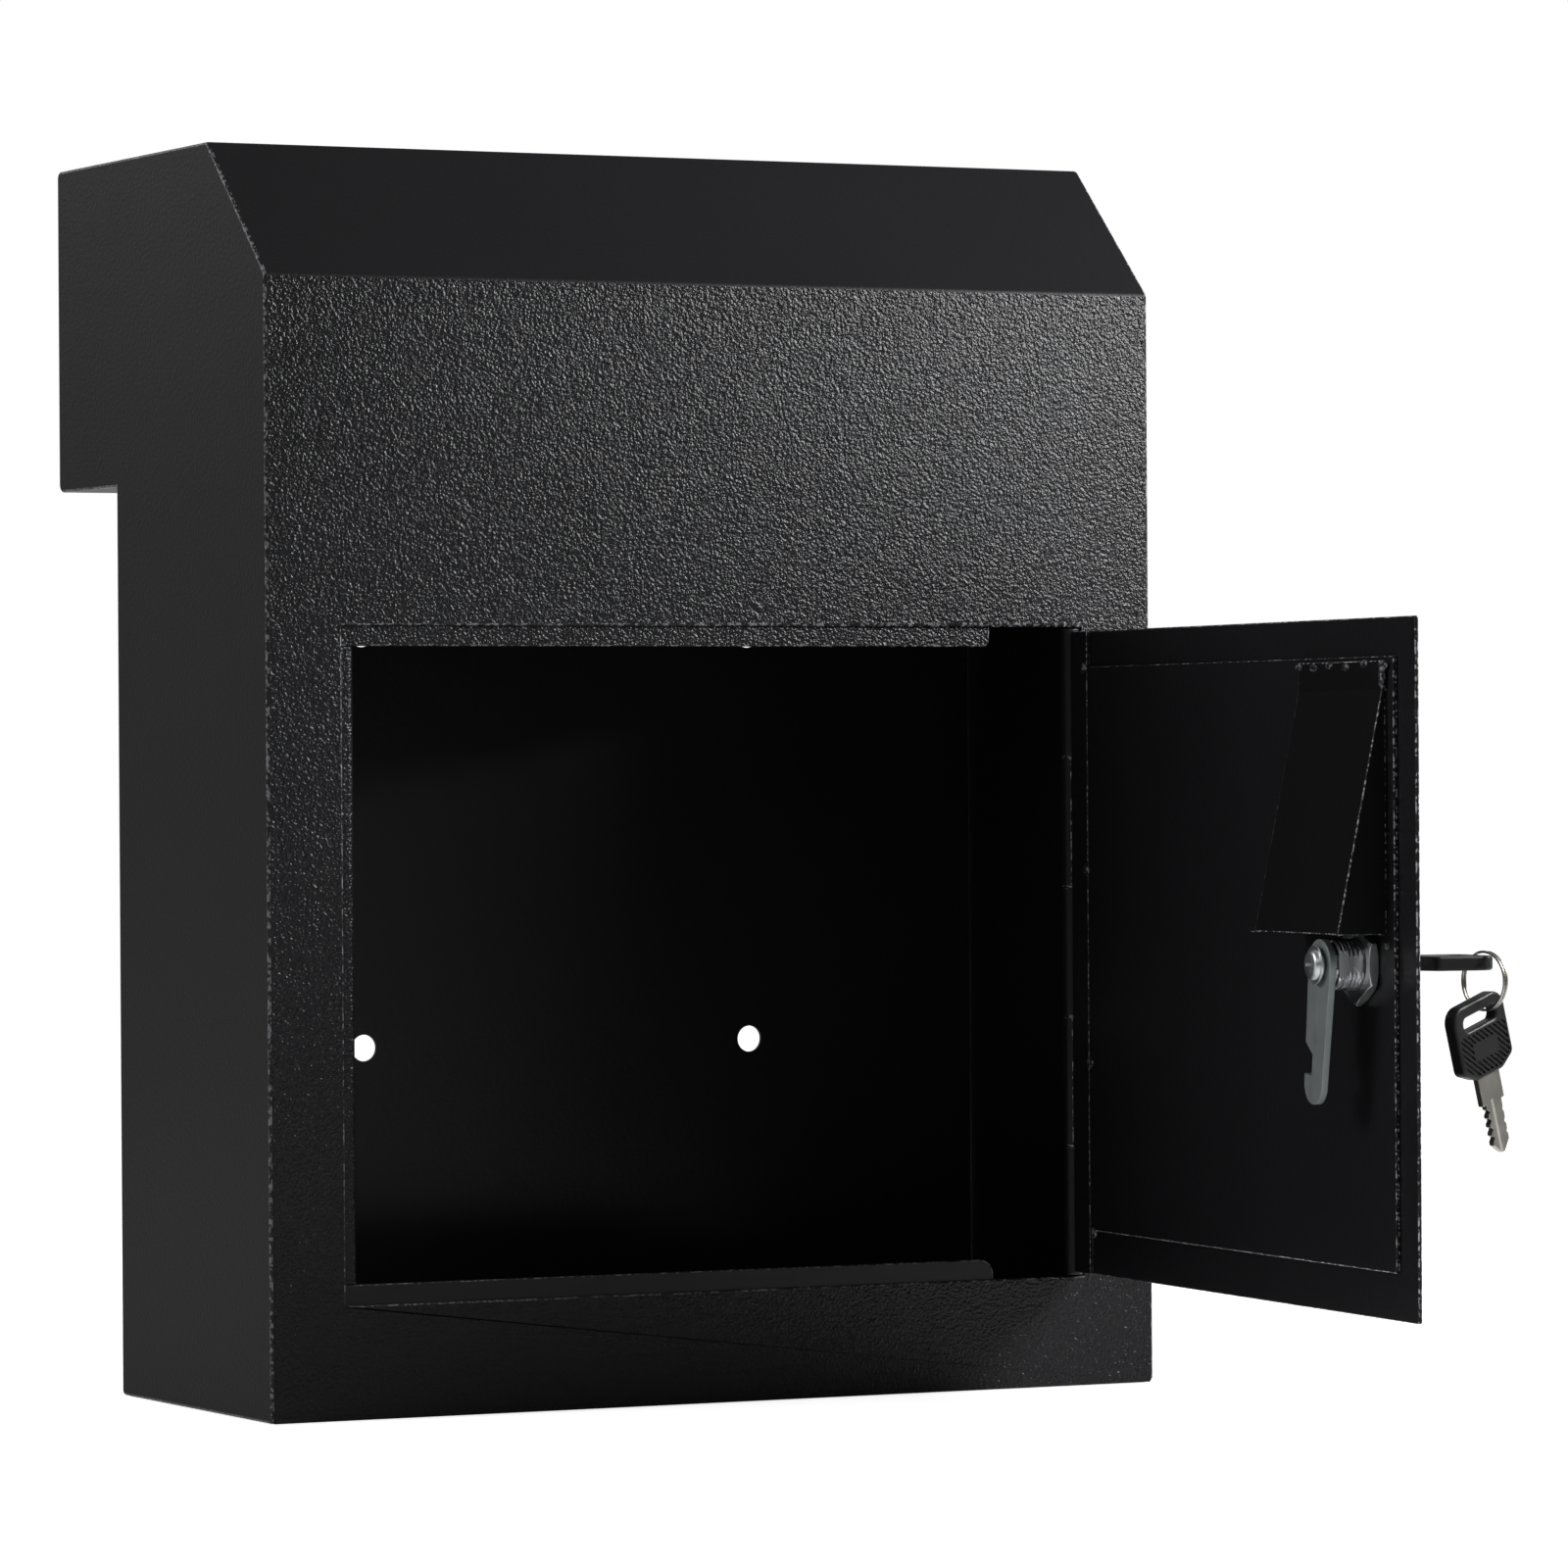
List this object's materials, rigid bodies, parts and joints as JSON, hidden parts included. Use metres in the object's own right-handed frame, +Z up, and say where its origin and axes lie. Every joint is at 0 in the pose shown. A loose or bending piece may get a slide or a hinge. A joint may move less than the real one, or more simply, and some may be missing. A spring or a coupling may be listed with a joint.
{
  "type": "wall mounted mailbox",
  "caption": "Black steel wall mounted drop box with a sloped hood, a chute reaching back through the wall, a hinged front door and a keyed cam lock.",
  "frame": {"origin": "middle of the flat lower back face that rests on the wall, at half the height of that face", "axes": "+X to the right as seen from the front, +Y into the wall, +Z up; the door opens towards -Y"},
  "size_m": [0.32, 0.4425, 0.4099],
  "materials": {
    "powder_coat": "black powder coat with a fine leather grain",
    "zinc": "bright zinc plated steel",
    "chrome": "bright chrome",
    "brass": "plain brass",
    "nickel": "nickel plated",
    "black_plastic": "satin black moulding"
  },
  "bodies": {
    "box": {"front_hood_panel": "powder_coat", "left_side_panel": "powder_coat", "right_side_panel": "powder_coat", "bottom_panel": "powder_coat", "lower_back_panel": "powder_coat", "chute_rear_panel": "powder_coat", "chute_baffle": "powder_coat", "door_stop_top": "powder_coat", "door_stop_bottom": "powder_coat", "door_keeper": "powder_coat", "hinge_leaf_body": "powder_coat", "hinge_pin": "zinc"},
    "door": {"door_plate": "powder_coat", "door_inner_plate": "powder_coat", "hinge_leaf_door": "powder_coat", "lock_guard": "powder_coat", "lock_housing": "chrome", "lock_nut": "zinc"},
    "lock_core": {"lock_plug": "chrome", "wafer_tumbler_1": "brass", "wafer_tumbler_2": "brass", "wafer_tumbler_3": "brass", "wafer_tumbler_4": "brass", "cam_stop_washer": "zinc", "cam_arm": "zinc", "cam_lock_washer": "zinc", "cam_screw": "zinc"},
    "key": {"key_blade": "nickel", "key_bow": "black_plastic"},
    "ring": {"key_ring": "nickel"},
    "spare_key": {"spare_key_blade": "nickel", "spare_key_bow": "black_plastic"}
  },
  "joints": [
    {"name": "door_swing", "type": "hinge", "parent": "box", "child": "door", "pos_m": [0.1306, -0.1273, 0], "axis": [0, 0, 1], "range_deg": [-84.5, 35.5]},
    {"name": "lock_turn", "type": "hinge", "parent": "door", "child": "lock_core", "pos_m": [0.11032, -0.35561, -0.00475], "axis": [-0.9954, 0.0958, 0], "range_deg": [0, 90]},
    {"name": "key_slide", "type": "slide", "parent": "lock_core", "child": "key", "axis": [0.9954, -0.0958, 0], "range_m": [0, 0.02]},
    {"name": "ring_swing", "type": "hinge", "parent": "key", "child": "ring", "pos_m": [0.14229, -0.36898, -0.00475], "axis": [-0.9724, -0.2334, 0], "range_deg": [-25, 25]},
    {"name": "spare_swing", "type": "hinge", "parent": "ring", "child": "spare_key", "pos_m": [0.14229, -0.36898, -0.01925], "axis": [-0.3338, 0.9426, 0], "range_deg": [-15, 15]}
  ]
}
